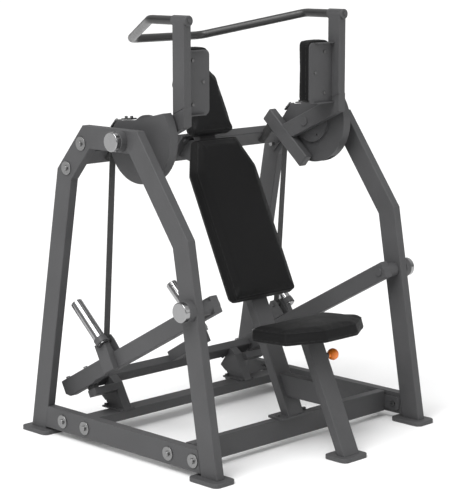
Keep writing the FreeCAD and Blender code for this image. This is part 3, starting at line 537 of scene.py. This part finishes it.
def fill_with_foam(obj, pad):
    """Swell the cover over its foam. The board side stays flat and the growth is capped."""
    remesh = obj.modifiers.new("even", "REMESH")
    remesh.mode = "VOXEL"
    remesh.voxel_size = VOXEL
    apply_modifiers(obj)
    rest = coordinates(obj.data)
    depth = (rest - np.array(pad.origin)) @ np.array(pad.out)
    held = obj.vertex_groups.new(name="held")
    for index in np.nonzero(depth < 0.35 * pad.depth)[0]:
        share = 1.0 if depth[index] < 0.012 else 0.6
        held.add([int(index)], share, "REPLACE")
    cloth = obj.modifiers.new("cover", "CLOTH")
    cloth.settings.use_pressure = True
    cloth.settings.uniform_pressure_force = FOAM_PRESSURE
    cloth.settings.effector_weights.gravity = 0.0
    cloth.settings.tension_stiffness = 12.0
    cloth.settings.bending_stiffness = 1.5
    cloth.settings.quality = 4
    cloth.settings.vertex_group_mass = "held"
    cloth.point_cache.frame_end = CLOTH_FRAMES
    scene = bpy.context.scene
    for number in range(1, CLOTH_FRAMES + 1):
        scene.frame_set(number)
    apply_modifiers(obj)
    moved = coordinates(obj.data)
    shift = moved - rest
    length = np.linalg.norm(shift, axis=1, keepdims=True)
    shift *= np.minimum(1.0, SWELL_CAP / np.maximum(length, 1e-9))
    obj.data.vertices.foreach_set("co", (rest + shift).ravel())
    obj.data.update()
    scene.frame_set(1)


def smooth_cover(obj):
    relax = obj.modifiers.new("relax", "SMOOTH")
    relax.factor = 0.5
    relax.iterations = RELAX_STEPS
    finer = obj.modifiers.new("finer", "SUBSURF")
    finer.levels = finer.render_levels = 1
    apply_modifiers(obj)
    for polygon in obj.data.polygons:
        polygon.use_smooth = True


def seams(obj, pad):
    """A welt where the face meets the side band, a row of stitches inside it, and one near the board."""
    tree = BVHTree.FromPolygons([v.co for v in obj.data.vertices], [p.vertices for p in obj.data.polygons])

    def on_cover(amount, depth):
        points, normals = [], []
        for flat in pad.inset(amount):
            place, normal, _, _ = tree.find_nearest(pad.world(flat, depth))
            points.append(place)
            normals.append(normal)
        return points, normals

    middle = pad.depth - pad.edge * 0.55
    points, normals = on_cover(pad.edge * 0.2, middle)
    welt = joined(pad.name + "_welt", [ring_tube(points, normals, WELT_R)], VINYL)
    parts = []
    for amount, depth in ((pad.edge * 0.85, pad.depth), (0.0, pad.depth * 0.22)):
        points, normals = on_cover(amount, depth)
        parts += stitches(points, normals)
    sewn = joined(pad.name + "_stitches", parts, THREAD)
    return welt, sewn


def stitches(points, normals):
    """Small beads along a ring, one per stitch."""
    beads = []
    count = len(points)
    carried = 0.0
    for i in range(count):
        a, b = points[i], points[(i + 1) % count]
        length = (b - a).length
        while carried < length:
            t = carried / length
            end = min(1.0, t + 0.62 * STITCH_STEP / length)
            out = normals[i].lerp(normals[(i + 1) % count], t).normalized()
            lift = out * 0.0002
            if (end - t) * length > 0.002:
                beads.append(capsule(a.lerp(b, t) + lift, a.lerp(b, end) + lift, out, 0.0006))
            carried += STITCH_STEP
        carried -= length
    return beads


def mirrored(right_side):
    """A closed outline in metres, from the corners of its right half in millimetres, bottom to top."""
    points = right_side + [(-x, y) for x, y in reversed(right_side)]
    return [(x / 1000, y / 1000) for x, y in points]


BACK_CORNERS = mirrored([(186, -14), (186, 548), (121, 690)])
HEAD_CORNERS = mirrored([(120, 701), (120, 950), (76, 1012)])
SEAT_CORNERS = mirrored([(94, 0), (238, 94), (222, 304)])
BACK_UP = Vector((0, math.sin(LEAN), math.cos(LEAN)))
BACK_OUT = Vector((0, -math.cos(LEAN), math.sin(LEAN)))
SEAT_UP = Vector((0, math.cos(SEAT_TILT), -math.sin(SEAT_TILT)))
SEAT_OUT = Vector((0, math.sin(SEAT_TILT), math.cos(SEAT_TILT)))
SEAT_FRONT_TOP = Vector((0, -0.571, 0.513 + 0.302 * math.tan(SEAT_TILT)))


def elbow_corners(node):
    """Corners of an elbow pad's face, from its CAD box."""
    low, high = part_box(node)
    return [(low.x, low.z), (high.x, low.z), (high.x, high.z), (low.x, high.z)]


def all_pads():
    board = BACK_FOOT - BACK_OUT * PAD_DEPTH
    pads = [
        Pad("back_cushion", "frame", "back_pad", BACK_CORNERS, board, BACK_UP, BACK_OUT,
            PAD_DEPTH, 0.026, 0.004, 0.85),
        Pad("head_cushion", "frame", "head_pad", HEAD_CORNERS, board, BACK_UP, BACK_OUT,
            PAD_DEPTH, 0.026, 0.003, 0.85),
        Pad("seat_cushion", "seat", "seat_pad", SEAT_CORNERS, SEAT_FRONT_TOP - SEAT_OUT * SEAT_DEPTH,
            SEAT_UP, SEAT_OUT, SEAT_DEPTH, 0.016, 0.005, 0.85, SEAT_EDGE),
    ]
    for side, _ in SIDES:
        node = "elbow_pad_" + side
        low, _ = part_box(node)
        pads.append(Pad("elbow_cushion_" + side, "swing_arms", node, elbow_corners(node),
                        Vector((0, low.y, 0)), Vector((0, 0, 1)), Vector((0, 1, 0)),
                        ELBOW_DEPTH, 0.024, 0.003, 0.9))
    return pads


def upholster(pad):
    cushion = pad.build()
    fill_with_foam(cushion, pad)
    smooth_cover(cushion)
    welt, sewn = seams(cushion, pad)
    for piece in (cushion, welt, sewn):
        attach(piece, pad.body)
    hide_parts(pad.node)


for pad in all_pads():
    upholster(pad)


# ---------- belts ----------

def strip(points, across, width, thickness):
    """(vertices, faces) of a flat strip along a list of points."""
    vertices, faces = [], []
    count = len(points)
    for i, point in enumerate(points):
        along = (points[min(i + 1, count - 1)] - points[max(i - 1, 0)]).normalized()
        out = across.cross(along).normalized() * thickness / 2
        half = across * width / 2
        vertices += [point - half - out, point + half - out, point + half + out, point - half + out]
    for i in range(count - 1):
        for k in range(4):
            a, b = i * 4 + k, i * 4 + (k + 1) % 4
            faces.append([a, b, b + 4, a + 4])
    faces += [[0, 1, 2, 3], [(count - 1) * 4 + k for k in (3, 2, 1, 0)]]
    return vertices, faces


def belts():
    """Each belt's free span, and the loop round the clevis pin."""
    top = ARM_PIVOT + Vector((0, DRUM_R + 1.5 * BELT_THICKNESS + 0.0003, 0))
    foot = CLEVIS_PIN + Vector((0, 0, PIN_REACH))
    for side, sign in SIDES:
        shift = X_AXIS * sign * DRIVE_X
        points = [shift + foot.lerp(top, k / 40) for k in range(41)]
        ribbon = strip(points, X_AXIS, BELT_WIDTH, BELT_THICKNESS)
        span = joined("belt_span_" + side, [ribbon], WEBBING, False)
        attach(span, "frame")
        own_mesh(span)
        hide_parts("belt_" + side)
        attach(loop_round_pin(side, shift), side + "_lever")


def loop_round_pin(side, shift):
    """The belt's sewn end, folded round the clevis pin."""
    radius = PIN_R + BELT_THICKNESS / 2
    path = []
    for k in range(25):
        angle = math.radians(75 - 330 * k / 24)
        path.append(shift + CLEVIS_PIN + radius * Vector((0, math.cos(angle), math.sin(angle))))
    loop = joined("belt_loop_" + side, [strip(path, X_AXIS, BELT_WIDTH, BELT_THICKNESS)], WEBBING)
    return loop


belts()


# ---------- studio ----------

def studio():
    size = FLOOR_REACH
    corners = [(-size, -size, 0), (size, -size, 0), (size, size, 0), (-size, size, 0)]
    floor = new_object("studio_floor", corners, [[0, 1, 2, 3]], studio_floor(), False)
    world = bpy.data.worlds.new("studio_air")
    bpy.context.scene.world = world
    world.use_nodes = True
    tree = world.node_tree
    sky = tree.nodes["Background"]
    split = tree.nodes.new("ShaderNodeSeparateXYZ")
    tree.links.new(tree.nodes.new("ShaderNodeTexCoord").outputs["Generated"], split.inputs[0])
    fade = tree.nodes.new("ShaderNodeMapRange")
    fade.interpolation_type = "SMOOTHSTEP"
    for name, number in (("From Min", 0.0), ("From Max", 0.9), ("To Min", 0.30), ("To Max", 0.85)):
        fade.inputs[name].default_value = number
    tree.links.new(split.outputs["Z"], fade.inputs["Value"])
    tree.links.new(fade.outputs["Result"], sky.inputs["Strength"])
    sky.inputs["Color"].default_value = (1, 1, 1, 1)


def soft_light(name, place, target, size, power):
    data = bpy.data.lights.new(name, "AREA")
    data.shape = "SQUARE"
    data.size = size
    data.energy = power
    lamp = bpy.data.objects.new(name, data)
    bpy.context.scene.collection.objects.link(lamp)
    lamp.location = place
    lamp.rotation_mode = "QUATERNION"
    lamp.rotation_quaternion = (Vector(place) - Vector(target)).to_track_quat("Z", "Y")


def camera():
    data = bpy.data.cameras.new("view")
    data.sensor_fit = "VERTICAL"
    data.sensor_height = SENSOR
    data.lens = LENS
    data.clip_end = 100.0
    eye = bpy.data.objects.new("view", data)
    bpy.context.scene.collection.objects.link(eye)
    flat = math.cos(CAMERA_ELEVATION)
    back = Vector((math.sin(CAMERA_AZIMUTH) * flat, -math.cos(CAMERA_AZIMUTH) * flat,
                   math.sin(CAMERA_ELEVATION)))
    turn = back.to_track_quat("Z", "Y") @ Quaternion((0, 0, 1), CAMERA_ROLL)
    eye.matrix_world = Matrix.Translation(CAMERA_PLACE) @ turn.to_matrix().to_4x4()
    bpy.context.scene.camera = eye


def broad_sun(towards, strength, spread):
    """Even soft light over the whole floor, from one direction."""
    data = bpy.data.lights.new("sun", "SUN")
    data.energy = strength
    data.angle = math.radians(spread)
    lamp = bpy.data.objects.new("sun", data)
    bpy.context.scene.collection.objects.link(lamp)
    lamp.rotation_mode = "QUATERNION"
    lamp.rotation_quaternion = Vector(towards).to_track_quat("Z", "Y")


studio()
broad_sun((-0.62, -0.16, 0.95), 2.3, 40)
soft_light("key", (-4.2, -1.2, 3.4), (0, 0, 0.9), 2.6, 60)
soft_light("fill", (2.0, -4.6, 2.4), (0, 0, 0.8), 2.6, 25)
camera()
bpy.context.scene.view_settings.view_transform = "Standard"
